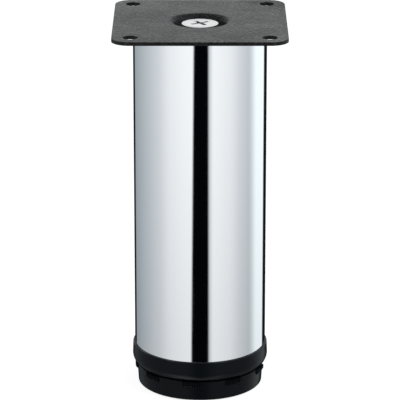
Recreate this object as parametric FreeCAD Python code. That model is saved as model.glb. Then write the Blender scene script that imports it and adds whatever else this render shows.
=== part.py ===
import FreeCAD, Part
import math
import os

from FreeCAD import Vector

# Height adjustable table leg, millimetres, +Z up, origin on the floor under the tube's axis.

# Leg tube
tube_diameter = 60.0
tube_wall = 1.2
tube_length = 156.4

# Mounting plate with its pressed dish
plate_side = 77.5
plate_thickness = 1.6
plate_corner_radius = 8.0
plate_edge_radius = 0.3
hole_margin = 8.25
hole_diameter = 6.5
hole_edge_bevel = 0.2
dish_room = 1.5
dish_bend_radius = 1.4
dish_wall_angle = 20.0

# Screw and washer that hold the plate on the tube
screw_diameter = 8.0
screw_length = 18.0
screw_tip_chamfer = 0.8
head_diameter = 16.4
head_height = 1.5
head_crown = 0.2
head_flat_diameter = 9.0
head_recess = 1.1
cross_span = 9.0
cross_width = 1.8
cross_floor_span = 3.2
cross_floor_width = 1.0
cross_depth = 3.0
cross_turn = 32.0
washer_inset = 0.2
washer_thickness = 1.6
washer_edge_chamfer = 0.25

# Disc and nut inside the tube's top end
disc_thickness = 3.0
weld_nut_across_flats = 13.0
weld_nut_height = 6.5

# Collar at the tube's lower end
collar_floor = 2.6
collar_lip = 0.8
collar_swell = 0.2
collar_edge_height = 3.3
collar_edge_inset = 1.25
collar_rim_radius = 0.25
tube_seat_depth = 6.0
sleeve_height = 14.0
sleeve_wall = 2.2
sleeve_lead_in = 1.0
nut_seat = 3.0
boss_wall = 2.2
collar_rib_count = 6
collar_rib_thickness = 1.8
collar_rib_drop = 3.0

# Captive nut and threaded stud
stud_diameter = 10.0
stud_tip_chamfer = 1.2
stud_reserve = 1.5
stud_head_across_flats = 14.0
stud_head_height = 3.0
collar_nut_across_flats = 16.0
collar_nut_height = 8.0

# Adjusting foot
foot_inset = 0.85
foot_taper = 0.5
foot_wall = 2.55
foot_roof = 2.5
foot_edge_radius = 0.7
foot_rim_radius = 0.3
hub_wall = 1.4
hub_floor = 0.45
hub_roof = 1.7
foot_rib_count = 10
foot_rib_thickness = 1.6
grip_count = 9
grip_rib_count = 8
grip_rib_pitch = 1.02
grip_rib_height = 0.95
grip_rib_base = 0.62
grip_rib_crest = 0.36
grip_length = 3.2
grip_run_out = 1.5
grip_start_angle = -98.5

# Floor glide with its snap pivot
glide_thickness = 2.0
glide_proud = 0.5
glide_edge_radius = 0.5
pivot_diameter = 6.0
pivot_throat = 1.0
barb_overhang = 0.45
barb_length = 1.0

# Height setting at rest, and how far the foot travels down from it
rest_gap = 1.3
travel_down = 13.5

# Clearances
screw_clearance = 0.4
thread_clearance = 0.05
weld_clearance = 0.05
tube_fit = 0.05
nut_fit = 0.05
insert_fit = 0.03
stud_clearance = 0.4
pivot_clearance = 0.06
barb_clearance = 0.3
barb_play = 0.15
glide_clearance = 0.4

# How far a moulded rib is rooted in the walls that it joins
rib_root = 0.5

# Radii
tube_radius = tube_diameter / 2
tube_bore_radius = tube_radius - tube_wall
screw_radius = screw_diameter / 2
screw_hole_radius = screw_radius + screw_clearance
head_radius = head_diameter / 2
washer_radius = head_radius - washer_inset
stud_radius = stud_diameter / 2
lip_inner_radius = tube_radius + tube_fit
lip_outer_radius = lip_inner_radius + collar_lip
collar_widest_radius = lip_outer_radius + collar_swell
collar_bottom_radius = collar_widest_radius - collar_edge_inset
foot_top_radius = collar_bottom_radius - foot_inset
foot_bottom_radius = foot_top_radius - foot_taper
foot_inner_radius = foot_bottom_radius - foot_wall
pivot_radius = pivot_diameter / 2

# Levels from the floor up: glide and barb, stud head, foot, collar, tube, plate
barb_bottom = glide_thickness + pivot_throat + barb_play
barb_top = barb_bottom + barb_length
chamber_top = barb_top + barb_clearance
stud_head_bottom = chamber_top + hub_floor
stud_head_top = stud_head_bottom + stud_head_height
foot_bottom = glide_proud
foot_top = stud_head_top + hub_roof
collar_bottom = foot_top + rest_gap
tube_bottom = collar_bottom + collar_floor
collar_top = tube_bottom + tube_seat_depth
tube_top = tube_bottom + tube_length
plate_bottom = tube_top
plate_top = plate_bottom + plate_thickness

# Levels from the plate down: screw head, washer, dish, disc
head_top = plate_top - head_recess
head_seat = head_top - head_height
dish_floor = head_seat - washer_thickness
disc_top = dish_floor - plate_thickness
disc_bottom = disc_top - disc_thickness

# Levels of the captive nut and the stud's end
collar_nut_bottom = tube_bottom + nut_seat
collar_nut_top = collar_nut_bottom + collar_nut_height
stud_top = collar_nut_top + travel_down + stud_reserve

# The dish's wall is tangent to the lip bend above it and the floor bend below it
dish_slope = math.radians(dish_wall_angle)
dish_lip_radius = dish_bend_radius + plate_thickness
dish_bends = dish_lip_radius + dish_bend_radius
dish_floor_radius = head_radius + dish_room
dish_wall_drop = plate_top - dish_floor - dish_bends * (1 - math.sin(dish_slope))
dish_wall_run = dish_wall_drop * math.tan(dish_slope)
dish_mouth_radius = dish_floor_radius + dish_bends * math.cos(dish_slope) + dish_wall_run

AXIS = Vector(0, 0, 1)
ORIGIN = Vector(0, 0, 0)


def point(radius, level):
    """A point of a profile in the XZ half plane."""
    return Vector(radius, 0, level)


def line(start, end):
    return Part.LineSegment(start, end).toShape()


def lines(points):
    """Straight edges from each point to the next."""
    return [line(a, b) for a, b in zip(points, points[1:])]


def arc(start, middle, end):
    return Part.Arc(start, middle, end).toShape()


def spin(edges):
    """A solid of revolution about +Z from the edges of a closed profile."""
    return Part.Face(Part.Wire(edges)).revolve(ORIGIN, AXIS, 360)


def spin_polygon(corners):
    points = [point(radius, level) for radius, level in corners]
    return spin(lines(points + points[:1]))


def cylinder(radius, bottom, top):
    return Part.makeCylinder(radius, top - bottom, point(0, bottom), AXIS)


def polar(radius, angle, level):
    return Vector(radius * math.cos(angle), radius * math.sin(angle), level)


def rectangle(length, width, level):
    """A closed flat outline about +Z."""
    x, y = length / 2, width / 2
    corners = [Vector(-x, -y, level), Vector(x, -y, level), Vector(x, y, level), Vector(-x, y, level)]
    return Part.makePolygon(corners + corners[:1])


def prism(outline, height):
    """An upright solid on a closed outline of points."""
    return Part.Face(Part.makePolygon(outline + outline[:1])).extrude(AXIS * height)


def hex_corner_radius(across_flats):
    return across_flats / 2 / math.cos(math.radians(30))


def hex_prism(across_flats, bottom, top):
    radius = hex_corner_radius(across_flats)
    return prism([polar(radius, math.radians(60 * i), bottom) for i in range(6)], top - bottom)


def hex_nut(across_flats, bottom, top, bore_radius):
    """A plain hex nut whose corners are turned off at 30 degrees on both faces."""
    corner_radius = hex_corner_radius(across_flats)
    flat_radius = across_flats / 2
    drop = (corner_radius - flat_radius) * math.tan(math.radians(30))
    turned = spin_polygon([
        (bore_radius, bottom),
        (flat_radius, bottom),
        (corner_radius, bottom + drop),
        (corner_radius, top - drop),
        (flat_radius, top),
        (bore_radius, top),
    ])
    return hex_prism(across_flats, bottom, top).common(turned)


def ring_of(solid, count, start_angle):
    """Copies of a solid at equal turns about +Z."""
    copies = []
    for i in range(count):
        copy = solid.copy()
        copy.rotate(ORIGIN, AXIS, start_angle + 360 * i / count)
        copies.append(copy)
    return copies


def radial_rib(thickness, inner_radius, outer_radius, bottom, top):
    """An upright rib along +X that joins two round walls."""
    start = inner_radius - rib_root
    corner = Vector(start, -thickness / 2, bottom)
    return Part.makeBox(outer_radius + rib_root - start, thickness, top - bottom, corner)


def round_edges(solid, rounding, level, radius):
    """Rounds the full circles of one radius at one level."""
    found = []
    for edge in solid.Edges:
        if edge.Curve.TypeId != "Part::GeomCircle":
            continue
        if math.isclose(edge.Curve.Radius, radius) and math.isclose(edge.Curve.Center.z, level, abs_tol=1e-6):
            found.append(edge)
    return solid.makeFillet(rounding, found)


def make_leg_tube():
    outside = cylinder(tube_radius, tube_bottom, tube_top)
    return outside.cut(cylinder(tube_bore_radius, tube_bottom, tube_top))


def make_dish():
    """The drawn cup in the plate's middle: one sheet thickness all the way, with a rounded lip."""
    half_bend = (math.pi / 2 + dish_slope) / 2
    outward = Vector(math.cos(dish_slope), 0, -math.sin(dish_slope))
    between = Vector(math.cos(half_bend), 0, -math.sin(half_bend))
    floor_centre = point(dish_floor_radius, dish_floor + dish_bend_radius)
    lip_centre = point(dish_mouth_radius, plate_top - dish_lip_radius)

    def section(depth):
        """The sheet's line at one depth below its top face, from the floor out to the plate."""
        bend = dish_bend_radius + depth
        lip = dish_lip_radius - depth
        floor_end = floor_centre - AXIS * bend
        wall_foot = floor_centre + outward * bend
        wall_head = lip_centre - outward * lip
        plate_edge = lip_centre + AXIS * lip
        bore = point(screw_hole_radius, floor_end.z)
        edges = [
            line(bore, floor_end),
            arc(floor_end, floor_centre + between * bend, wall_foot),
            line(wall_foot, wall_head),
            arc(wall_head, lip_centre - between * lip, plate_edge),
        ]
        return edges, bore, plate_edge

    upper, upper_bore, upper_edge = section(0)
    lower, lower_bore, lower_edge = section(plate_thickness)
    closing = [line(upper_edge, lower_edge)]
    bore_wall = [line(lower_bore, upper_bore)]
    return spin(upper + closing + lower[::-1] + bore_wall)


def make_mounting_plate():
    half = plate_side / 2
    sheet = Part.makeBox(plate_side, plate_side, plate_thickness, Vector(-half, -half, plate_bottom))
    corners = [edge for edge in sheet.Edges if edge.BoundBox.ZLength > plate_thickness / 2]
    sheet = sheet.makeFillet(plate_corner_radius, corners)
    rim = [edge for edge in sheet.Edges if edge.BoundBox.ZMin > plate_bottom + plate_thickness / 2]
    sheet = sheet.makeFillet(plate_edge_radius, rim)
    hole_radius = hole_diameter / 2
    hole = spin_polygon([
        (0, plate_bottom),
        (hole_radius, plate_bottom),
        (hole_radius, plate_top - hole_edge_bevel),
        (hole_radius + hole_edge_bevel, plate_top),
        (0, plate_top),
    ])
    hole_place = half - hole_margin
    openings = [cylinder(dish_mouth_radius, plate_bottom, plate_top)]
    for x in (-hole_place, hole_place):
        for y in (-hole_place, hole_place):
            openings.append(hole.translated(Vector(x, y, 0)))
    return sheet.cut(openings).fuse(make_dish()).removeSplitter()


def make_plate_screw():
    """Low round head with a slightly crowned top, plain shank and a tapered cross recess."""
    flat_radius = head_flat_diameter / 2
    tip = head_seat - screw_length
    crown_run = head_radius - flat_radius
    crown_radius = (crown_run ** 2 + head_crown ** 2) / (2 * head_crown)
    half_sweep = math.asin(crown_run / crown_radius) / 2
    crown_middle = point(
        flat_radius + crown_radius * math.sin(half_sweep),
        head_top - crown_radius * (1 - math.cos(half_sweep)),
    )
    outline = [
        point(0, head_top),
        point(0, tip),
        point(screw_radius - screw_tip_chamfer, tip),
        point(screw_radius, tip + screw_tip_chamfer),
        point(screw_radius, head_seat),
        point(head_radius, head_seat),
        point(head_radius, head_top - head_crown),
    ]
    flat_edge = point(flat_radius, head_top)
    crown = [arc(outline[-1], crown_middle, flat_edge), line(flat_edge, outline[0])]
    screw = spin(lines(outline) + crown)
    mouth = rectangle(cross_span, cross_width, head_top)
    floor = rectangle(cross_floor_span, cross_floor_width, head_top - cross_depth)
    wing = Part.makeLoft([mouth, floor], True, True)
    return screw.cut(ring_of(wing, 4, cross_turn)[:2])


def make_flat_washer():
    return spin_polygon([
        (screw_hole_radius, dish_floor),
        (washer_radius, dish_floor),
        (washer_radius, head_seat - washer_edge_chamfer),
        (washer_radius - washer_edge_chamfer, head_seat),
        (screw_hole_radius, head_seat),
    ])


def make_top_disc():
    disc = cylinder(tube_bore_radius - weld_clearance, disc_bottom, disc_top)
    return disc.cut(cylinder(screw_hole_radius, disc_bottom, disc_top))


def make_weld_nut():
    nut_bottom = disc_bottom - weld_nut_height
    return hex_nut(weld_nut_across_flats, nut_bottom, disc_bottom, screw_radius + thread_clearance)


def make_collar():
    """Lip round the tube, sleeve inside it, floor, and a boss with the captive nut's pocket."""
    sleeve_outer = tube_bore_radius - tube_fit
    sleeve_inner = sleeve_outer - sleeve_wall
    sleeve_top = tube_bottom + sleeve_height
    pocket = collar_nut_across_flats + 2 * nut_fit
    boss_radius = hex_corner_radius(pocket) + boss_wall
    bore_radius = stud_radius + stud_clearance
    # The lower edge is an arc that leaves the widest level upright
    edge_turn = 2 * math.atan(collar_edge_inset / collar_edge_height)
    edge_bend = collar_edge_height / math.sin(edge_turn)
    edge_top = point(collar_widest_radius, collar_bottom + collar_edge_height)
    edge_middle = edge_top - Vector(
        edge_bend * (1 - math.cos(edge_turn / 2)),
        0,
        edge_bend * math.sin(edge_turn / 2),
    )
    edge_end = point(collar_bottom_radius, collar_bottom)
    outline = [
        edge_top,
        point(lip_outer_radius, collar_top),
        point(lip_inner_radius, collar_top),
        point(lip_inner_radius, tube_bottom),
        point(sleeve_outer, tube_bottom),
        point(sleeve_outer, sleeve_top - sleeve_lead_in),
        point(sleeve_outer - sleeve_lead_in / 2, sleeve_top),
        point(sleeve_inner, sleeve_top),
        point(sleeve_inner, tube_bottom),
        point(boss_radius, tube_bottom),
        point(boss_radius, collar_nut_top),
        point(bore_radius, collar_nut_top),
        point(bore_radius, collar_bottom),
        edge_end,
    ]
    collar = spin(lines(outline) + [arc(edge_end, edge_middle, edge_top)])
    collar = round_edges(collar, collar_rim_radius, collar_top, lip_outer_radius)
    rib_top = sleeve_top - collar_rib_drop
    rib = radial_rib(collar_rib_thickness, boss_radius, sleeve_inner, tube_bottom, rib_top)
    collar = collar.fuse(ring_of(rib, collar_rib_count, 0))
    return collar.cut(hex_prism(pocket, collar_nut_bottom, collar_nut_top)).removeSplitter()


def make_collar_nut():
    bore_radius = stud_radius + thread_clearance
    return hex_nut(collar_nut_across_flats, collar_nut_bottom, collar_nut_top, bore_radius)


def make_adjuster_stud():
    """Threaded shank, plain in outline, with the hex head that the foot is moulded round."""
    shank = spin_polygon([
        (0, stud_head_bottom),
        (stud_radius, stud_head_bottom),
        (stud_radius, stud_top - stud_tip_chamfer),
        (stud_radius - stud_tip_chamfer, stud_top),
        (0, stud_top),
    ])
    head = hex_prism(stud_head_across_flats, stud_head_bottom, stud_head_top)
    return shank.fuse(head).removeSplitter()


def make_grip_pad():
    """One group of upright ribs at the foot's top edge, centred on +X, rooted in its wall."""
    crest_radius = foot_top_radius + grip_rib_height
    root_radius = foot_top_radius - foot_wall / 2
    level = foot_top - grip_length
    outline = []
    for i in range(grip_rib_count):
        offset = (i - (grip_rib_count - 1) / 2) * grip_rib_pitch
        for radius, side in (
            (foot_top_radius, offset - grip_rib_base / 2),
            (crest_radius, offset - grip_rib_crest / 2),
            (crest_radius, offset + grip_rib_crest / 2),
            (foot_top_radius, offset + grip_rib_base / 2),
        ):
            outline.append(polar(radius, side / foot_top_radius, level))
    half_width = ((grip_rib_count - 1) * grip_rib_pitch + grip_rib_base) / 2
    for side in (half_width, -half_width):
        outline.append(polar(root_radius, side / foot_top_radius, level))
    # The ribs' lower ends slope in to the wall
    beyond = 2 * crest_radius - foot_bottom_radius
    under = spin_polygon([
        (foot_bottom_radius, level),
        (beyond, level),
        (beyond, level + 2 * grip_run_out),
    ])
    return prism(outline, grip_length).cut(under)


def make_foot():
    """Open cup with a hub, radial ribs and ribbed grip pads, one moulding round the stud's head."""
    roof = foot_top - foot_roof
    head_space = stud_head_across_flats + 2 * insert_fit
    hub_radius = hex_corner_radius(head_space) + hub_wall
    throat_radius = pivot_radius + pivot_clearance
    chamber_radius = pivot_radius + barb_overhang + barb_clearance
    chamber_floor = glide_thickness + pivot_throat
    foot = spin_polygon([
        (0, foot_top),
        (foot_top_radius, foot_top),
        (foot_bottom_radius, foot_bottom),
        (foot_inner_radius, foot_bottom),
        (foot_inner_radius, roof),
        (hub_radius, roof),
        (hub_radius, glide_thickness),
        (throat_radius, glide_thickness),
        (throat_radius, chamber_floor),
        (chamber_radius, chamber_floor),
        (chamber_radius, chamber_top),
        (0, chamber_top),
    ])
    foot = round_edges(foot, foot_edge_radius, foot_bottom, foot_bottom_radius)
    foot = round_edges(foot, foot_rim_radius, foot_top, foot_top_radius)
    rib = radial_rib(foot_rib_thickness, hub_radius, foot_inner_radius, glide_thickness, roof + rib_root)
    pads = ring_of(make_grip_pad(), grip_count, grip_start_angle)
    foot = foot.fuse(pads + ring_of(rib, foot_rib_count, grip_start_angle))
    stud_hole = cylinder(stud_radius + insert_fit, stud_head_top, foot_top)
    stud_head = hex_prism(head_space, stud_head_bottom - insert_fit, stud_head_top + insert_fit)
    return foot.cut([stud_hole, stud_head]).removeSplitter()


def make_glide_pad():
    """Round disc with a barbed pivot that snaps into the foot's hub."""
    radius = foot_inner_radius - glide_clearance
    pad = spin_polygon([
        (0, 0),
        (radius, 0),
        (radius, glide_thickness),
        (pivot_radius, glide_thickness),
        (pivot_radius, barb_bottom),
        (pivot_radius + barb_overhang, barb_bottom),
        (pivot_radius - barb_overhang, barb_top),
        (0, barb_top),
    ])
    return round_edges(pad, glide_edge_radius, 0, radius)


PIECES = {
    "leg_tube": make_leg_tube,
    "mounting_plate": make_mounting_plate,
    "plate_screw": make_plate_screw,
    "flat_washer": make_flat_washer,
    "top_disc": make_top_disc,
    "weld_nut": make_weld_nut,
    "collar": make_collar,
    "collar_nut": make_collar_nut,
    "adjuster_stud": make_adjuster_stud,
    "foot": make_foot,
    "glide_pad": make_glide_pad,
}

os.makedirs("parts", exist_ok=True)
for name, make in PIECES.items():
    piece = make()
    piece.exportStep("parts/" + name + ".step")
    print(name, len(piece.Solids), piece.isValid(), round(piece.Volume, 1))
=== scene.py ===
import math

import bmesh
import bpy
from mathutils import Matrix, Vector


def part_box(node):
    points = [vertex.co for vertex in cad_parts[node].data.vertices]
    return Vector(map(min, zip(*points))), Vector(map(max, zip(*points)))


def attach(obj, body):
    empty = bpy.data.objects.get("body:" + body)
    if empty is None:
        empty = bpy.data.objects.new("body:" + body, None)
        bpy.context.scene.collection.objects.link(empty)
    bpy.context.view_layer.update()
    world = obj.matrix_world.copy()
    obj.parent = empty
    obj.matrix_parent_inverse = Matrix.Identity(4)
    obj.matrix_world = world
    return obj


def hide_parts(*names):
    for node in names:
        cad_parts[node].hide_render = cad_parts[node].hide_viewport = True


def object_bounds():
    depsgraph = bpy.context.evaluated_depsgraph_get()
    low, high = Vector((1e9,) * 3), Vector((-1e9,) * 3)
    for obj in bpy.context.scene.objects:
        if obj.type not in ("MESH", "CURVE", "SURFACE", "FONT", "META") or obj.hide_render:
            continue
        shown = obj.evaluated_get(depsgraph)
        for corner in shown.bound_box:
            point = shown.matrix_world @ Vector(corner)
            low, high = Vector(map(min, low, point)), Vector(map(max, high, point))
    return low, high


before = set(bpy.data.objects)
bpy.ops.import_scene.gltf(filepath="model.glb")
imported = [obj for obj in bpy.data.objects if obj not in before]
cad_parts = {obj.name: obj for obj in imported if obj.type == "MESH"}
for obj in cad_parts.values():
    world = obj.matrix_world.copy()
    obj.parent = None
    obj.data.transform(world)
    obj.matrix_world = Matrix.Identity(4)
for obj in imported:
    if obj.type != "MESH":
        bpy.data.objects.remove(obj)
cad_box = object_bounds()

# Sizes are in millimetres, turned into metres by MM. Levels and reach are read from the parts in
# model.glb.
MM = 0.001


def node_reach(node):
    """A round node's outer radius, lowest level and highest level, in metres."""
    low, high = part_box(node)
    return high.x, low.z, high.z


head_radius, screw_tip, head_top = node_reach("plate_screw")
head_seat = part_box("flat_washer")[1].z
foot_bottom, foot_top = (corner.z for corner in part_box("foot"))
stud_bottom, stud_top = (corner.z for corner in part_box("adjuster_stud"))
glide_top = foot_bottom + 1.5 * MM
floor_level = cad_box[0].z

# Plate screw
head_rim_height = 1.3 * MM
head_rim_rounding = 0.3 * MM
head_flat_radius = 4.5 * MM
screw_radius = 4.0 * MM
screw_pitch = 1.25 * MM
screw_point = 0.8 * MM
cross_turn = math.radians(32)
cross_depth = 3.0 * MM
cross_mouth = (4.5 * MM, 0.9 * MM)
cross_floor = (1.6 * MM, 0.5 * MM)
neck_end = head_top - cross_depth - 2 * screw_point

# Adjusting stud
stud_radius = 5.0 * MM
stud_pitch = 1.5 * MM
stud_point = 1.2 * MM
stud_head_corner = 14.0 * MM / 2 / math.cos(math.pi / 6)
stud_head_height = 3.0 * MM
insert_fit = 0.03 * MM

# Foot
foot_top_radius = 28.95 * MM
foot_bottom_radius = 28.45 * MM
foot_inner_radius = 25.9 * MM
foot_roof = 2.5 * MM
foot_rim_rounding = 0.3 * MM
foot_edge_rounding = 0.7 * MM
hub_radius = 9.52 * MM
hub_floor = 0.45 * MM
pivot_throat = (3.06 * MM, 1.0 * MM)
pivot_chamber = 3.75 * MM
inner_ribs = 10
inner_rib_width = 1.6 * MM
inner_rib_root = 0.5 * MM
grip_pads = 9
pad_ribs = 8
grip_pitch = 1.02 * MM
grip_height = 0.95 * MM
grip_base = 0.62 * MM
grip_crest = 0.36 * MM
grip_length = 3.2 * MM
grip_run_out = 1.5 * MM
grip_root = 0.8 * MM
grip_rounding = 0.14 * MM
grip_top_step = 0.02 * MM
first_pad_angle = math.radians(-98.5)

# Thread form: depth and flats as shares of the pitch
THREAD_DEPTH = 0.61
THREAD_ROOT_FLAT = 0.25
THREAD_CREST_FLAT = 0.125
THREAD_ROWS = 14
THREAD_SIDES = 64

# Mesh fineness
TURNED_SIDES = 256
ROUNDING_STEPS = 6
SHARP_ANGLE = math.radians(35)
SAME_POINT = 1e-7

FLOAT = "NodeSocketFloat"
INT = "NodeSocketInt"
GEOMETRY = "NodeSocketGeometry"
MATERIAL = "NodeSocketMaterial"


# Node helpers

def add(tree, kind, inputs=None, **settings):
    """A node with its properties set, and each input given a value or linked to a socket."""
    node = tree.nodes.new(kind)
    for name, value in settings.items():
        setattr(node, name, value)
    for key, value in (inputs or {}).items():
        socket = node.inputs[key]
        if isinstance(value, bpy.types.NodeSocket):
            tree.links.new(value, socket)
        else:
            socket.default_value = value
    return node


def calc(tree, operation, *values):
    """The result of one Math node."""
    return add(tree, "ShaderNodeMath", dict(enumerate(values)), operation=operation).outputs[0]


def span(tree, value, low, high, to_low=0.0, to_high=1.0, shape="LINEAR"):
    """A value mapped from one range to another, held at the ends."""
    inputs = {0: value, 1: low, 2: high, 3: to_low, 4: to_high}
    return add(tree, "ShaderNodeMapRange", inputs, interpolation_type=shape).outputs[0]


def colour_mix(tree, mask, first, second):
    """Two colours, each a triple or a socket, mixed by a mask."""
    inputs = {0: mask}
    for key, colour in ((6, first), (7, second)):
        inputs[key] = colour if isinstance(colour, bpy.types.NodeSocket) else (*colour, 1)
    return add(tree, "ShaderNodeMix", inputs, data_type="RGBA").outputs[2]


def new_group(name, kind, inputs, outputs):
    """A node group with named sockets, its input sockets and its output sockets."""
    tree = bpy.data.node_groups.new(name, kind)
    for label, socket in inputs.items():
        tree.interface.new_socket(label, in_out="INPUT", socket_type=socket)
    for label, socket in outputs.items():
        tree.interface.new_socket(label, in_out="OUTPUT", socket_type=socket)
    return tree, add(tree, "NodeGroupInput").outputs, add(tree, "NodeGroupOutput").inputs


# Shader groups that more than one finish uses

def make_grain_group():
    """Fine all-over texture: a height for bump and a mask of its raised tips."""
    tree, given, result = new_group(
        "surface_grain",
        "ShaderNodeTree",
        {"Grain Size": FLOAT, "Roundness": FLOAT, "Tips From": FLOAT},
        {"Height": FLOAT, "Tips": FLOAT},
    )
    place = add(tree, "ShaderNodeTexCoord").outputs["Object"]
    scale = calc(tree, "DIVIDE", 1.0, given["Grain Size"])
    noise = add(tree, "ShaderNodeTexNoise", {"Vector": place, "Scale": scale, "Detail": 2.0})
    cells = add(tree, "ShaderNodeTexVoronoi", {"Vector": place, "Scale": scale}, feature="SMOOTH_F1")
    bumps = calc(tree, "SUBTRACT", 1.0, cells.outputs["Distance"])
    inputs = {0: given["Roundness"], 2: noise.outputs[0], 3: bumps}
    height = add(tree, "ShaderNodeMix", inputs, data_type="FLOAT").outputs[0]
    tips = span(tree, height, given["Tips From"], calc(tree, "ADD", given["Tips From"], 0.25))
    tree.links.new(height, result["Height"])
    tree.links.new(tips, result["Tips"])
    return tree


def make_handling_group():
    """Cloudy marks left by wiping and handling, as a mask from 0 to 1."""
    tree, given, result = new_group(
        "handling_marks",
        "ShaderNodeTree",
        {"Mark Size": FLOAT, "Spread": FLOAT},
        {"Mask": FLOAT},
    )
    place = add(tree, "ShaderNodeTexCoord").outputs["Object"]
    scale = calc(tree, "DIVIDE", 1.0, given["Mark Size"])
    inputs = {"Vector": place, "Scale": scale, "Detail": 5.0, "Roughness": 0.6, "Distortion": 0.4}
    clouds = add(tree, "ShaderNodeTexNoise", inputs).outputs[0]
    low = calc(tree, "SUBTRACT", 0.5, given["Spread"])
    high = calc(tree, "ADD", 0.5, given["Spread"])
    tree.links.new(span(tree, clouds, low, high), result["Mask"])
    return tree


def make_turning_group():
    """Fine rings round +Z, as a lathe or a die leaves them."""
    tree, given, result = new_group(
        "turning_lines", "ShaderNodeTree", {"Line Width": FLOAT}, {"Height": FLOAT}
    )
    place = add(tree, "ShaderNodeTexCoord").outputs["Object"]
    x, y, z = add(tree, "ShaderNodeSeparateXYZ", {0: place}).outputs
    flat = add(tree, "ShaderNodeCombineXYZ", {0: x, 1: y}).outputs[0]
    radius = add(tree, "ShaderNodeVectorMath", {0: flat}, operation="LENGTH").outputs["Value"]
    along = calc(tree, "DIVIDE", calc(tree, "ADD", radius, z), given["Line Width"])
    lines = add(tree, "ShaderNodeTexNoise", {"W": along, "Scale": 1.0}, noise_dimensions="1D")
    tree.links.new(lines.outputs[0], result["Height"])
    return tree


surface_grain = make_grain_group()
handling_marks = make_handling_group()
turning_lines = make_turning_group()


# Finishes

def new_finish(name):
    """A material with its Principled shader."""
    material = bpy.data.materials.new(name)
    material.use_nodes = True
    tree = material.node_tree
    return material, tree, tree.nodes["Principled BSDF"].inputs


def place_group(tree, group, **sizes):
    """A shader group in a material with its own values: Grain_Size=... sets the input Grain Size."""
    inputs = {label.replace("_", " "): value for label, value in sizes.items()}
    return add(tree, "ShaderNodeGroup", inputs, node_tree=group).outputs


def relief(tree, height, strength, depth, under=None):
    """A bump from a height, on top of another bump where one is given."""
    inputs = {"Height": height, "Strength": strength, "Distance": depth}
    if under:
        inputs["Normal"] = under
    return add(tree, "ShaderNodeBump", inputs).outputs[0]


def make_chrome():
    """Mirror chrome plate with faint wiping marks and a slight unevenness under the plating."""
    material, tree, shader = new_finish("chrome")
    shader["Metallic"].default_value = 1.0
    shader["Base Color"].default_value = (0.86, 0.875, 0.89, 1)
    wiped = place_group(tree, handling_marks, Mark_Size=26 * MM, Spread=0.22)
    tree.links.new(span(tree, wiped["Mask"], 0, 1, 0.03, 0.07), shader["Roughness"])
    uneven = place_group(tree, surface_grain, Grain_Size=1.6 * MM)
    tree.links.new(relief(tree, uneven["Height"], 0.06, 0.02 * MM), shader["Normal"])
    return material


def make_coating():
    """Black textured powder coat: fine raised grains with scattered larger flecks."""
    material, tree, shader = new_finish("textured_coating")
    shader["Specular IOR Level"].default_value = 0.15
    grain = place_group(tree, surface_grain, Grain_Size=0.55 * MM, Roundness=0.35, Tips_From=0.5)
    fleck = place_group(tree, surface_grain, Grain_Size=0.95 * MM, Roundness=0.4, Tips_From=0.5)
    worn = place_group(tree, handling_marks, Mark_Size=24 * MM, Spread=0.25)
    ground = colour_mix(tree, grain["Tips"], (0.0035, 0.0037, 0.004), (0.008, 0.0083, 0.0087))
    flecked = colour_mix(tree, fleck["Tips"], ground, (0.026, 0.0264, 0.0268))
    tree.links.new(flecked, shader["Base Color"])
    dulled = span(tree, worn["Mask"], 0, 1, 0.34, 0.48)
    tree.links.new(calc(tree, "MULTIPLY_ADD", fleck["Tips"], -0.14, dulled), shader["Roughness"])
    broad = relief(tree, fleck["Height"], 0.9, 0.55 * MM)
    tree.links.new(relief(tree, grain["Height"], 0.8, 0.16 * MM, broad), shader["Normal"])
    return material


def make_zinc(name, recess=None):
    """Bright zinc plate with turning lines and a faint cloud, and painted shade in a recess if one is
    given: darker and rougher towards the recess's floor.
    """
    material, tree, shader = new_finish(name)
    shader["Metallic"].default_value = 1.0
    cloud = place_group(tree, handling_marks, Mark_Size=5 * MM, Spread=0.25)
    colour = colour_mix(tree, cloud["Mask"], (0.5, 0.505, 0.51), (0.63, 0.63, 0.625))
    roughness = span(tree, cloud["Mask"], 0, 1, 0.2, 0.32)
    if recess:
        mouth, mouth_reach, floor, floor_reach = recess
        place = add(tree, "ShaderNodeTexCoord").outputs["Object"]
        x, y, z = add(tree, "ShaderNodeSeparateXYZ", {0: place}).outputs
        radius = calc(tree, "SQRT", calc(tree, "MULTIPLY_ADD", x, x, calc(tree, "MULTIPLY", y, y)))
        outside = calc(tree, "SUBTRACT", radius, span(tree, z, floor, mouth, floor_reach, mouth_reach))
        within = span(tree, outside, 0.05 * MM, 0.15 * MM, 1.0, 0.0)
        depth = span(tree, z, mouth - 0.9 * MM, mouth - 0.25 * MM, 1.0, 0.0)
        # Painted shade: within the recess's reach and deeper than its mouth, the zinc is darkened to
        # dark grey and made rougher.
        recess_shade = calc(tree, "MULTIPLY", within, depth)
        colour = colour_mix(tree, recess_shade, colour, (0.1, 0.1, 0.102))
        roughness = calc(tree, "MULTIPLY_ADD", recess_shade, 0.25, roughness)
    tree.links.new(colour, shader["Base Color"])
    tree.links.new(roughness, shader["Roughness"])
    lines = place_group(tree, turning_lines, Line_Width=0.12 * MM)
    tree.links.new(relief(tree, lines["Height"], 0.08, 0.05 * MM), shader["Normal"])
    return material


def make_bare_steel():
    """Plain steel inside the tube: drawn lines, dulled in patches."""
    material, tree, shader = new_finish("bare_steel")
    shader["Metallic"].default_value = 1.0
    dull = place_group(tree, handling_marks, Mark_Size=9 * MM, Spread=0.2)
    colour = colour_mix(tree, dull["Mask"], (0.5, 0.5, 0.5), (0.36, 0.35, 0.34))
    tree.links.new(colour, shader["Base Color"])
    tree.links.new(span(tree, dull["Mask"], 0, 1, 0.34, 0.52), shader["Roughness"])
    lines = place_group(tree, turning_lines, Line_Width=0.2 * MM)
    tree.links.new(relief(tree, lines["Height"], 0.2, 0.05 * MM), shader["Normal"])
    return material


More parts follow.
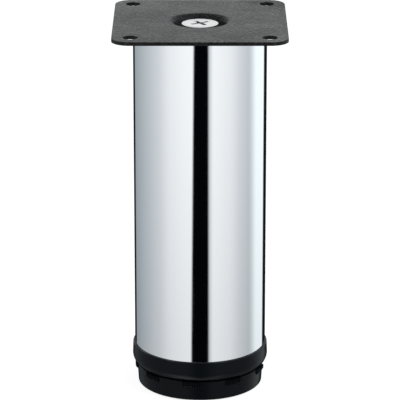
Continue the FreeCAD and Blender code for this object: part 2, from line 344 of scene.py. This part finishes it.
def make_moulding(name, dark, light, specular, smooth, dull, grain_size):
    """Moulded plastic: a fine grain from the mould, and patches that are duller from handling."""
    material, tree, shader = new_finish(name)
    shader["Specular IOR Level"].default_value = specular
    grain = place_group(tree, surface_grain, Grain_Size=grain_size, Roundness=0.3, Tips_From=0.5)
    worn = place_group(tree, handling_marks, Mark_Size=14 * MM, Spread=0.25)
    tree.links.new(colour_mix(tree, grain["Tips"], dark, light), shader["Base Color"])
    tree.links.new(span(tree, worn["Mask"], 0, 1, smooth, dull), shader["Roughness"])
    tree.links.new(relief(tree, grain["Height"], 0.2, 0.04 * MM), shader["Normal"])
    return material


chrome = make_chrome()
textured_coating = make_coating()
zinc = make_zinc("zinc")
screw_zinc = make_zinc(
    "screw_zinc", (head_top, cross_mouth[0], head_top - cross_depth, cross_floor[0])
)
bare_steel = make_bare_steel()
black_moulding = make_moulding(
    "black_moulding", (0.003, 0.0044, 0.0062), (0.0054, 0.0072, 0.0094), 0.07, 0.24, 0.34, 0.3 * MM
)
glide_plastic = make_moulding(
    "glide_plastic", (0.04, 0.04, 0.042), (0.06, 0.06, 0.062), 0.3, 0.5, 0.7, 0.6 * MM
)

CAD_FINISHES = {
    "leg_tube": chrome,
    "mounting_plate": textured_coating,
    "flat_washer": zinc,
    "top_disc": bare_steel,
    "weld_nut": bare_steel,
    "collar": black_moulding,
    "collar_nut": zinc,
    "glide_pad": glide_plastic,
}
for node, finish in CAD_FINISHES.items():
    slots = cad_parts[node].data.materials
    slots.clear()
    slots.append(finish)


# Mesh helpers

def soften(corners):
    """A profile of (radius, level, rounding) corners with each rounding drawn as a small arc."""
    points = []
    for i, (radius, level, rounding) in enumerate(corners):
        corner = Vector((radius, level))
        if not rounding:
            points.append(corner)
            continue
        back = (Vector(corners[i - 1][:2]) - corner).normalized()
        ahead = (Vector(corners[(i + 1) % len(corners)][:2]) - corner).normalized()
        half = back.angle(ahead) / 2
        centre = corner + (back + ahead).normalized() * rounding / math.sin(half)
        start = corner + back * rounding / math.tan(half) - centre
        end = corner + ahead * rounding / math.tan(half) - centre
        sweep = math.pi - 2 * half
        for step in range(ROUNDING_STEPS + 1):
            turn = sweep * step / ROUNDING_STEPS
            spoke = start * math.sin(sweep - turn) + end * math.sin(turn)
            points.append(centre + spoke / math.sin(sweep))
    return points


def turn_profile(shape, profile, sides):
    """Adds a solid of revolution about +Z to a bmesh. The profile starts and ends on the axis."""
    rings = []
    for radius, level in profile:
        if radius < SAME_POINT:
            rings.append([shape.verts.new((0, 0, level))])
            continue
        angles = [2 * math.pi * i / sides for i in range(sides)]
        spots = [(radius * math.cos(a), radius * math.sin(a), level) for a in angles]
        rings.append([shape.verts.new(spot) for spot in spots])
    for lower, upper in zip(rings, rings[1:]):
        for i in range(sides):
            j = (i + 1) % sides
            places = ((lower, i), (lower, j), (upper, j), (upper, i))
            corners = [ring[k % len(ring)] for ring, k in places]
            shape.faces.new(list(dict.fromkeys(corners)))


def sound_mesh(name, shape):
    """The mesh of a bmesh with its doubles joined and its faces outward. The bmesh is then freed."""
    bmesh.ops.remove_doubles(shape, verts=shape.verts, dist=SAME_POINT)
    bmesh.ops.recalc_face_normals(shape, faces=shape.faces)
    mesh = bpy.data.meshes.new(name)
    shape.to_mesh(mesh)
    shape.free()
    return mesh


def finish_piece(name, shape, material, body, node):
    """A piece from a bmesh, smooth with sharp edges, on its body in place of its node."""
    mesh = sound_mesh(name, shape)
    mesh.shade_smooth()
    mesh.set_sharp_from_angle(angle=SHARP_ANGLE)
    mesh.materials.clear()
    mesh.materials.append(material)
    piece = bpy.data.objects.new(name, mesh)
    bpy.context.scene.collection.objects.link(piece)
    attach(piece, body)
    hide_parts(node)


def evaluated_mesh(holder):
    """The plain mesh that an object's modifiers make. The object is then removed."""
    bpy.context.view_layer.update()
    depsgraph = bpy.context.evaluated_depsgraph_get()
    mesh = bpy.data.meshes.new_from_object(holder.evaluated_get(depsgraph))
    bpy.data.objects.remove(holder)
    return mesh


def grow(tree, material, **sizes):
    """The plain mesh that a Geometry Nodes tree makes with these sizes."""
    holder = bpy.data.objects.new(tree.name, bpy.data.meshes.new(tree.name))
    bpy.context.scene.collection.objects.link(holder)
    modifier = holder.modifiers.new(tree.name, "NODES")
    modifier.node_group = tree
    values = {label.replace("_", " "): value for label, value in sizes.items()}
    values["Material"] = material
    for item in tree.interface.items_tree:
        if item.in_out == "INPUT":
            modifier[item.identifier] = values[item.name]
    return evaluated_mesh(holder)


# Geometry Nodes trees

def position_axes(tree):
    """The x, y and z of each point."""
    position = add(tree, "GeometryNodeInputPosition").outputs[0]
    return add(tree, "ShaderNodeSeparateXYZ", {0: position}).outputs


def end_tree(tree, geometry, given, result):
    """Ends a tree in Realize Instances and Set Material."""
    real = add(tree, "GeometryNodeRealizeInstances", {0: geometry}).outputs[0]
    inputs = {"Geometry": real, "Material": given["Material"]}
    done = add(tree, "GeometryNodeSetMaterial", inputs).outputs[0]
    tree.links.new(done, result["Geometry"])


def make_thread_tree():
    """A right-hand threaded rod about +Z, pointed at both ends."""
    tree, given, result = new_group(
        "threaded_rod",
        "GeometryNodeTree",
        {
            "Radius": FLOAT,
            "Pitch": FLOAT,
            "Point": FLOAT,
            "Bottom": FLOAT,
            "Top": FLOAT,
            "Material": MATERIAL,
        },
        {"Geometry": GEOMETRY},
    )
    length = calc(tree, "SUBTRACT", given["Top"], given["Bottom"])
    turns = calc(tree, "DIVIDE", length, given["Pitch"])
    rod = add(
        tree,
        "GeometryNodeMeshCylinder",
        {
            "Vertices": THREAD_SIDES,
            "Side Segments": calc(tree, "MULTIPLY", turns, THREAD_ROWS),
            "Radius": given["Radius"],
            "Depth": length,
        },
    )
    middle = calc(tree, "MULTIPLY", calc(tree, "ADD", given["Top"], given["Bottom"]), 0.5)
    lift = add(tree, "ShaderNodeCombineXYZ", {2: middle}).outputs[0]
    raised = add(tree, "GeometryNodeTransform", {"Geometry": rod.outputs["Mesh"], "Translation": lift})
    x, y, z = position_axes(tree)
    turn = calc(tree, "DIVIDE", calc(tree, "ARCTAN2", y, x), 2 * math.pi)
    phase = calc(tree, "FRACT", calc(tree, "SUBTRACT", calc(tree, "DIVIDE", z, given["Pitch"]), turn))
    wave = calc(tree, "ABSOLUTE", calc(tree, "MULTIPLY_ADD", phase, 2.0, -1.0))
    depth = calc(tree, "MULTIPLY", given["Pitch"], THREAD_DEPTH)
    flank = span(tree, wave, THREAD_ROOT_FLAT, 1 - THREAD_CREST_FLAT, 1.0, 0.0)
    cut = calc(tree, "MULTIPLY", flank, depth)
    from_end = calc(
        tree,
        "MINIMUM",
        calc(tree, "SUBTRACT", z, given["Bottom"]),
        calc(tree, "SUBTRACT", given["Top"], z),
    )
    point_cut = calc(tree, "SUBTRACT", given["Point"], from_end)
    radius = calc(tree, "SUBTRACT", given["Radius"], calc(tree, "MAXIMUM", cut, point_cut))
    share = calc(tree, "DIVIDE", radius, given["Radius"])
    place = add(
        tree,
        "ShaderNodeCombineXYZ",
        {0: calc(tree, "MULTIPLY", x, share), 1: calc(tree, "MULTIPLY", y, share), 2: z},
    )
    cut_rod = add(
        tree,
        "GeometryNodeSetPosition",
        {"Geometry": raised.outputs[0], "Position": place.outputs[0]},
    )
    end_tree(tree, cut_rod.outputs[0], given, result)
    return tree


def make_rib_tree():
    """Upright ribs round +Z in evenly spaced groups, each a tapered section with rounded corners.

    A rib's lower end rises by Run Out on its way from Run Radius to the outer radius.
    """
    tree, given, result = new_group(
        "upright_ribs",
        "GeometryNodeTree",
        {
            "Groups": INT,
            "Ribs": INT,
            "Rib Turn": FLOAT,
            "First Turn": FLOAT,
            "Inner Radius": FLOAT,
            "Outer Radius": FLOAT,
            "Inner Width": FLOAT,
            "Outer Width": FLOAT,
            "Rounding": FLOAT,
            "Run Radius": FLOAT,
            "Run Out": FLOAT,
            "Bottom": FLOAT,
            "Top": FLOAT,
            "Material": MATERIAL,
        },
        {"Geometry": GEOMETRY},
    )
    section = add(
        tree,
        "GeometryNodeCurvePrimitiveQuadrilateral",
        {
            "Bottom Width": given["Inner Width"],
            "Top Width": given["Outer Width"],
            "Offset": 0.0,
            "Height": calc(tree, "SUBTRACT", given["Outer Radius"], given["Inner Radius"]),
        },
        mode="TRAPEZOID",
    )
    rounded = add(
        tree,
        "GeometryNodeFilletCurve",
        {"Curve": section.outputs[0], "Count": 3, "Radius": given["Rounding"], "Limit Radius": True},
        mode="POLY",
    )
    floor = add(tree, "GeometryNodeFillCurve", {0: rounded.outputs[0]}, mode="NGONS").outputs[0]
    height = calc(tree, "SUBTRACT", given["Top"], given["Bottom"])
    up = add(tree, "ShaderNodeCombineXYZ", {2: height}).outputs[0]
    walls = add(tree, "GeometryNodeExtrudeMesh", {"Mesh": floor, "Offset": up, "Offset Scale": 1.0})
    rib = add(tree, "GeometryNodeJoinGeometry", {0: floor})
    tree.links.new(walls.outputs["Mesh"], rib.inputs[0])
    both_radii = calc(tree, "ADD", given["Outer Radius"], given["Inner Radius"])
    reach = calc(tree, "MULTIPLY", both_radii, 0.5)
    place = add(tree, "ShaderNodeCombineXYZ", {1: reach, 2: given["Bottom"]}).outputs[0]
    placed = add(tree, "GeometryNodeTransform", {"Geometry": rib.outputs[0], "Translation": place})
    _, y, z = position_axes(tree)
    run = calc(tree, "SUBTRACT", given["Outer Radius"], given["Run Radius"])
    out = calc(tree, "DIVIDE", calc(tree, "SUBTRACT", y, given["Run Radius"]), run)
    low = calc(tree, "DIVIDE", calc(tree, "SUBTRACT", given["Top"], z), height)
    rise = calc(tree, "MULTIPLY", calc(tree, "MULTIPLY", out, low), given["Run Out"])
    lift = add(tree, "ShaderNodeCombineXYZ", {2: rise}).outputs[0]
    sloped = add(tree, "GeometryNodeSetPosition", {"Geometry": placed.outputs[0], "Offset": lift})
    count = calc(tree, "MULTIPLY", given["Groups"], given["Ribs"])
    points = add(tree, "GeometryNodePoints", {"Count": count})
    index = add(tree, "GeometryNodeInputIndex").outputs[0]
    group = calc(tree, "FLOOR", calc(tree, "DIVIDE", index, given["Ribs"]))
    step = calc(tree, "SUBTRACT", index, calc(tree, "MULTIPLY", group, given["Ribs"]))
    from_middle = calc(tree, "SUBTRACT", step, calc(tree, "MULTIPLY_ADD", given["Ribs"], 0.5, -0.5))
    turn = calc(tree, "MULTIPLY_ADD", from_middle, given["Rib Turn"], given["First Turn"])
    group_turn = calc(tree, "DIVIDE", calc(tree, "MULTIPLY", group, 2 * math.pi), given["Groups"])
    spin = add(tree, "ShaderNodeCombineXYZ", {2: calc(tree, "ADD", turn, group_turn)}).outputs[0]
    ring = add(
        tree,
        "GeometryNodeInstanceOnPoints",
        {"Points": points.outputs[0], "Instance": sloped.outputs[0], "Rotation": spin},
    )
    end_tree(tree, ring.outputs[0], given, result)
    return tree


threaded_rod = make_thread_tree()
upright_ribs = make_rib_tree()


# Pieces

def cross_cutter():
    """The cross recess as a solid: two tapered blades and a socket, reaching out of the head's top."""
    shape = bmesh.new()
    floor = head_top - cross_depth
    for quarter in range(2):
        turn = Matrix.Rotation(cross_turn + quarter * math.pi / 2, 3, "Z")
        corners = []
        layers = ((cross_floor, floor), (cross_mouth, head_top), (cross_mouth, head_top + MM))
        for (length, width), level in layers:
            for x, y in ((-length, -width), (length, -width), (length, width), (-length, width)):
                corners.append(shape.verts.new(turn @ Vector((x, y, level))))
        shape.faces.new(corners[3::-1])
        shape.faces.new(corners[8:])
        for layer in (0, 4):
            for i in range(4):
                j = (i + 1) % 4
                wall = (layer + i, layer + j, layer + 4 + j, layer + 4 + i)
                shape.faces.new([corners[k] for k in wall])
    mesh = bpy.data.meshes.new("cross_cutter")
    shape.to_mesh(mesh)
    shape.free()
    return mesh


def make_screw():
    """Low crowned head and plain neck with a cross recess, on a threaded shank."""
    rim_top = head_seat + head_rim_height
    crown = head_top - rim_top
    shape = bmesh.new()
    profile = [Vector((0, head_top))]
    for step in range(ROUNDING_STEPS * 2 + 1):
        turn = math.pi / 2 * (1 - step / (ROUNDING_STEPS * 2))
        run = (head_radius - head_flat_radius) * math.cos(turn)
        profile.append(Vector((head_flat_radius + run, rim_top + crown * math.sin(turn))))
    profile += soften([
        (head_radius, rim_top, 0),
        (head_radius, head_seat, head_rim_rounding),
        (screw_radius, head_seat, 0),
        (screw_radius, neck_end, 0),
        (0, neck_end, 0),
    ])
    turn_profile(shape, profile, TURNED_SIDES // 2)
    head = bpy.data.objects.new("screw_head", sound_mesh("screw_head", shape))
    cutter = bpy.data.objects.new("cross_cutter", cross_cutter())
    for holder in (head, cutter):
        bpy.context.scene.collection.objects.link(holder)
    recess = head.modifiers.new("recess", "BOOLEAN")
    recess.object = cutter
    recess.use_self = True
    recess.solver = "EXACT"
    cut_head = evaluated_mesh(head)
    bpy.data.objects.remove(cutter)
    shank = grow(
        threaded_rod,
        screw_zinc,
        Radius=screw_radius,
        Pitch=screw_pitch,
        Point=screw_point,
        Bottom=screw_tip,
        Top=neck_end + screw_point,
    )
    screw = bmesh.new()
    screw.from_mesh(cut_head)
    screw.from_mesh(shank)
    finish_piece("cross_head_screw", screw, screw_zinc, "leg", "plate_screw")


def make_stud():
    """Threaded stud with the hex head that the foot is moulded round."""
    stud = bmesh.new()
    head_end = stud_bottom + stud_head_height
    stud.from_mesh(
        grow(
            threaded_rod,
            zinc,
            Radius=stud_radius,
            Pitch=stud_pitch,
            Point=stud_point,
            Bottom=head_end - stud_point,
            Top=stud_top,
        )
    )
    bmesh.ops.create_cone(
        stud,
        cap_ends=True,
        segments=6,
        radius1=stud_head_corner,
        radius2=stud_head_corner,
        depth=stud_head_height,
        matrix=Matrix.Translation((0, 0, stud_bottom + stud_head_height / 2)),
    )
    finish_piece("threaded_stud", stud, zinc, "foot", "adjuster_stud")


def make_foot():
    """Moulded cup with a hub round the stud's head, inner ribs, and ribbed grip pads at its top."""
    roof = foot_top - foot_roof
    throat_radius, throat_length = pivot_throat
    throat_top = glide_top + throat_length
    chamber_top = stud_bottom - hub_floor
    head_space = stud_head_corner + insert_fit
    head_end = stud_bottom + stud_head_height + insert_fit
    bore = stud_radius + insert_fit
    profile = soften([
        (0, chamber_top, 0),
        (pivot_chamber, chamber_top, 0),
        (pivot_chamber, throat_top, 0),
        (throat_radius, throat_top, 0),
        (throat_radius, glide_top, 0),
        (hub_radius, glide_top, 0),
        (hub_radius, roof, 0),
        (foot_inner_radius, roof, 0),
        (foot_inner_radius, foot_bottom, 0),
        (foot_bottom_radius, foot_bottom, foot_edge_rounding),
        (foot_top_radius, foot_top, foot_rim_rounding),
        (bore, foot_top, 0),
        (bore, head_end, 0),
        (head_space, head_end, 0),
        (head_space, stud_bottom - insert_fit, 0),
        (0, stud_bottom - insert_fit, 0),
    ])
    foot = bmesh.new()
    turn_profile(foot, profile, TURNED_SIDES)
    foot.from_mesh(
        grow(
            upright_ribs,
            black_moulding,
            Groups=grip_pads,
            Ribs=pad_ribs,
            Rib_Turn=grip_pitch / foot_top_radius,
            First_Turn=first_pad_angle - math.pi / 2,
            Inner_Radius=foot_top_radius - grip_root,
            Outer_Radius=foot_top_radius + grip_height,
            Inner_Width=grip_base + (grip_base - grip_crest) * grip_root / grip_height,
            Outer_Width=grip_crest,
            Rounding=grip_rounding,
            Run_Radius=foot_bottom_radius,
            Run_Out=grip_run_out,
            Bottom=foot_top - grip_length,
            Top=foot_top - grip_top_step,
        )
    )
    foot.from_mesh(
        grow(
            upright_ribs,
            black_moulding,
            Groups=inner_ribs,
            Ribs=1,
            Rib_Turn=0.0,
            First_Turn=first_pad_angle - math.pi / 2,
            Inner_Radius=hub_radius - inner_rib_root,
            Outer_Radius=foot_inner_radius + inner_rib_root,
            Inner_Width=inner_rib_width,
            Outer_Width=inner_rib_width,
            Rounding=0.0,
            Run_Radius=0.0,
            Run_Out=0.0,
            Bottom=glide_top,
            Top=roof + inner_rib_root,
        )
    )
    finish_piece("ribbed_foot", foot, black_moulding, "foot", "foot")


make_screw()
make_stud()
make_foot()


# Studio

# What metal mirrors: upright panels placed by azimuth, in degrees from the front towards +X, and by
# height, the sine of a ray's elevation. In the photo's view the tube mirrors the heights from
# TUBE_LOW, at its lower end, to TUBE_HIGH, at its top. A pair of heights is a soft edge.
TUBE_LOW = -0.36
TUBE_HIGH = -0.245
HORIZON = (-0.07, -0.01)
FLOOR_EDGE = (-0.995, -0.94)
LOW_PANEL_TOP = (-0.8, -0.68)
SOFTBOX_BOTTOM = (-0.6, -0.45)
FLAG_GAP_BOTTOM = (0.01, 0.05)
FLAG_GAP_TOP = (0.19, 0.25)
FRONT_CEILING_BOTTOM = (0.2, 0.34)
CEILING_FADE = (0.32, 0.6)

FRONT_WALL = (1.056, 1.076, 1.087)
BACK_WALL = (0.308, 0.356, 0.392)
CEILING_LANE = (1.3, 1.31, 1.32)
CEILING_BETWEEN = (0.7, 0.73, 0.75)
CEILING_FRONT = (0.34, 0.36, 0.375)
SOFTBOX = (1.07, 1.14, 1.17)
LOW_PANEL = (4.0, 4.05, 4.1)
BACK_FLAG = (0.008, 0.009, 0.011)
FRONT_FLAG = (0.001, 0.0016, 0.0025)
FLAG_EDGE = (0.62, 0.66, 0.68)

CEILING_LANES = 6.0
NEAR_FRONT = (0.6, 0.82)
NEAR_FRONT_GAIN = 0.14
LOW_DIMMING = 0.18
LOW_DIMMING_CURVE = 1.7
OVERHEAD_LEVEL = 0.7
SOFT_LIGHT = 0.55
FLOOR_GLOW = 0.86
FLOOR_SHADE = (0.3, 0.3, 0.3, 1)
FLOOR_MATT = (0.8, 0.8, 0.8, 1)
FLOOR_REACH = 3.0
LAMP_TARGET = Vector((0, 0, 0.1))


def make_band_group():
    """How far a direction lies inside an upright band of the studio, from 0 to 1, by its azimuth."""
    tree, given, result = new_group(
        "studio_band",
        "ShaderNodeTree",
        {"Azimuth": FLOAT, "Centre": FLOAT, "Half Width": FLOAT, "Softness": FLOAT},
        {"Mask": FLOAT},
    )
    turn = calc(tree, "SUBTRACT", given["Azimuth"], given["Centre"])
    away = calc(tree, "ABSOLUTE", calc(tree, "WRAP", turn, math.pi, -math.pi))
    inside = calc(tree, "SUBTRACT", given["Half Width"], given["Softness"])
    outside = calc(tree, "ADD", given["Half Width"], given["Softness"])
    tree.links.new(span(tree, away, inside, outside, 1.0, 0.0, "SMOOTHSTEP"), result["Mask"])
    return tree


def make_world():
    """White to the camera, even soft light on the object, and panels in what metal mirrors."""
    world = bpy.data.worlds.new("studio")
    bpy.context.scene.world = world
    world.use_nodes = True
    tree = world.node_tree
    tree.nodes.clear()
    direction = add(tree, "ShaderNodeTexCoord").outputs["Generated"]
    x, y, height = add(tree, "ShaderNodeSeparateXYZ", {0: direction}).outputs
    azimuth = calc(tree, "ARCTAN2", x, calc(tree, "MULTIPLY", y, -1.0))
    bands = make_band_group()

    def over(edge):
        """1 above a soft edge, 0 below it."""
        return span(tree, height, *edge)

    def under(edge):
        """1 below a soft edge, 0 above it."""
        return span(tree, height, *edge, 1.0, 0.0)

    def angle(degrees):
        """One angle, or a pair for the tube's lower and top end."""
        if isinstance(degrees, tuple):
            return span(tree, height, TUBE_LOW, TUBE_HIGH, *map(math.radians, degrees))
        return math.radians(degrees)

    def panel(behind, colour, share, centre, half_width, softness):
        """The colours behind it with one upright panel laid over a share of them."""
        inputs = {
            "Azimuth": azimuth,
            "Centre": angle(centre),
            "Half Width": angle(half_width),
            "Softness": angle(softness),
        }
        mask = add(tree, "ShaderNodeGroup", inputs, node_tree=bands).outputs["Mask"]
        return colour_mix(tree, calc(tree, "MULTIPLY", mask, share), behind, colour)

    # Walls that go from pale in front to grey behind, and a ceiling in soft lanes
    front = calc(tree, "MULTIPLY_ADD", calc(tree, "COSINE", azimuth), 0.5, 0.5)
    near = span(tree, front, *NEAR_FRONT, 0.0, NEAR_FRONT_GAIN, "SMOOTHSTEP")
    front_share = calc(tree, "MULTIPLY_ADD", front, 1 - NEAR_FRONT_GAIN, near)
    walls = colour_mix(tree, front_share, BACK_WALL, FRONT_WALL)
    wave = calc(tree, "COSINE", calc(tree, "MULTIPLY", azimuth, CEILING_LANES))
    lanes = colour_mix(tree, span(tree, wave, -1.0, 1.0), CEILING_BETWEEN, CEILING_LANE)
    front_ceiling = calc(tree, "MULTIPLY", front, over(FRONT_CEILING_BOTTOM))
    ceiling = colour_mix(tree, front_ceiling, lanes, CEILING_FRONT)
    mirrored = colour_mix(tree, under(HORIZON), ceiling, walls)

    # Panels on the walls: softbox, two low panels, and dark flags behind and in front
    gap = calc(tree, "MULTIPLY", over(FLAG_GAP_BOTTOM), under(FLAG_GAP_TOP))
    flag_share = calc(tree, "MULTIPLY", over(FLOOR_EDGE), calc(tree, "SUBTRACT", 1.0, gap))
    mirrored = panel(mirrored, SOFTBOX, over(SOFTBOX_BOTTOM), (131.5, 127), 25, 13)
    mirrored = panel(mirrored, LOW_PANEL, under(LOW_PANEL_TOP), -48, 26, 14)
    mirrored = panel(mirrored, LOW_PANEL, under(LOW_PANEL_TOP), 41, 11, 10)
    mirrored = panel(mirrored, BACK_FLAG, under(HORIZON), 176.1, 31.9, 3)
    mirrored = panel(mirrored, FLAG_EDGE, flag_share, 14, 5, 5)
    mirrored = panel(mirrored, FRONT_FLAG, flag_share, (-0.05, 1.85), (15.15, 12.35), 2.2)

    # Dimmer towards the floor and overhead
    low = calc(tree, "POWER", under((TUBE_LOW, TUBE_HIGH)), LOW_DIMMING_CURVE)
    low_level = calc(tree, "MULTIPLY_ADD", low, -LOW_DIMMING, 1.0)
    high_level = span(tree, height, *CEILING_FADE, 1.0, OVERHEAD_LEVEL)
    level = calc(tree, "MULTIPLY", low_level, high_level)

    rays = add(tree, "ShaderNodeLightPath").outputs
    seen = add(tree, "ShaderNodeBackground", {0: (1, 1, 1, 1), 1: 1.0}).outputs[0]
    soft = add(tree, "ShaderNodeBackground", {0: (1, 1, 1, 1), 1: SOFT_LIGHT}).outputs[0]
    panels = add(tree, "ShaderNodeBackground", {0: mirrored, 1: level}).outputs[0]
    lit = add(tree, "ShaderNodeMixShader", {0: rays["Is Glossy Ray"], 1: soft, 2: panels}).outputs[0]
    clear = calc(tree, "MAXIMUM", rays["Is Camera Ray"], rays["Is Transmission Ray"])
    shown = add(tree, "ShaderNodeMixShader", {0: clear, 1: lit, 2: seen}).outputs[0]
    add(tree, "ShaderNodeOutputWorld", {0: shown})


def make_floor():
    """White floor under the glide that keeps the shadow, open to mirrored rays and from below."""
    mesh = bpy.data.meshes.new("studio_floor")
    signs = ((-1, -1), (1, -1), (1, 1), (-1, 1))
    corners = [(x * FLOOR_REACH, y * FLOOR_REACH, floor_level) for x, y in signs]
    mesh.from_pydata(corners, [], [(0, 1, 2, 3)])
    floor = bpy.data.objects.new("studio_floor", mesh)
    bpy.context.scene.collection.objects.link(floor)
    material = bpy.data.materials.new("pale_floor")
    material.use_nodes = True
    tree = material.node_tree
    tree.nodes.clear()
    rays = add(tree, "ShaderNodeLightPath").outputs
    matt = add(tree, "ShaderNodeBsdfDiffuse", {0: FLOOR_MATT}).outputs[0]
    shade = add(tree, "ShaderNodeBsdfDiffuse", {0: FLOOR_SHADE}).outputs[0]
    glow = add(tree, "ShaderNodeEmission", {0: (1, 1, 1, 1), 1: FLOOR_GLOW}).outputs[0]
    white = add(tree, "ShaderNodeAddShader", {0: shade, 1: glow}).outputs[0]
    clear = add(tree, "ShaderNodeBsdfTransparent").outputs[0]
    seen = add(tree, "ShaderNodeMixShader", {0: rays["Is Camera Ray"], 1: matt, 2: white}).outputs[0]
    behind = add(tree, "ShaderNodeNewGeometry").outputs["Backfacing"]
    open_to = calc(tree, "MAXIMUM", rays["Is Glossy Ray"], behind)
    shown = add(tree, "ShaderNodeMixShader", {0: open_to, 1: seen, 2: clear}).outputs[0]
    add(tree, "ShaderNodeOutputMaterial", {0: shown})
    mesh.materials.append(material)
    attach(floor, "glide")


def make_softbox(name, place, size, power):
    """A round area lamp that faces the leg."""
    light = bpy.data.lights.new(name, "AREA")
    light.shape = "DISK"
    light.size = size
    light.energy = power
    lamp = bpy.data.objects.new(name, light)
    lamp.location = place
    towards = LAMP_TARGET - Vector(place)
    lamp.rotation_euler = towards.to_track_quat("-Z", "Y").to_euler()
    bpy.context.scene.collection.objects.link(lamp)


def make_camera():
    """In front and above the plate, looking down at the leg's middle."""
    distance = 1.2
    height = 0.4755
    tilt = math.radians(17.927)
    data = bpy.data.cameras.new("view_camera")
    data.sensor_width = 36.0
    data.lens = 249.25
    camera = bpy.data.objects.new("view_camera", data)
    camera.location = (0, -distance, height)
    camera.rotation_euler = (math.pi / 2 - tilt, 0, 0)
    bpy.context.scene.collection.objects.link(camera)
    bpy.context.scene.camera = camera


make_world()
make_floor()
make_softbox("key_softbox", place=(0.55, -0.35, 0.75), size=0.5, power=3.0)
make_softbox("fill_softbox", place=(-0.7, -0.6, 0.7), size=0.6, power=1.5)
make_camera()
bpy.context.scene.view_settings.view_transform = "Standard"
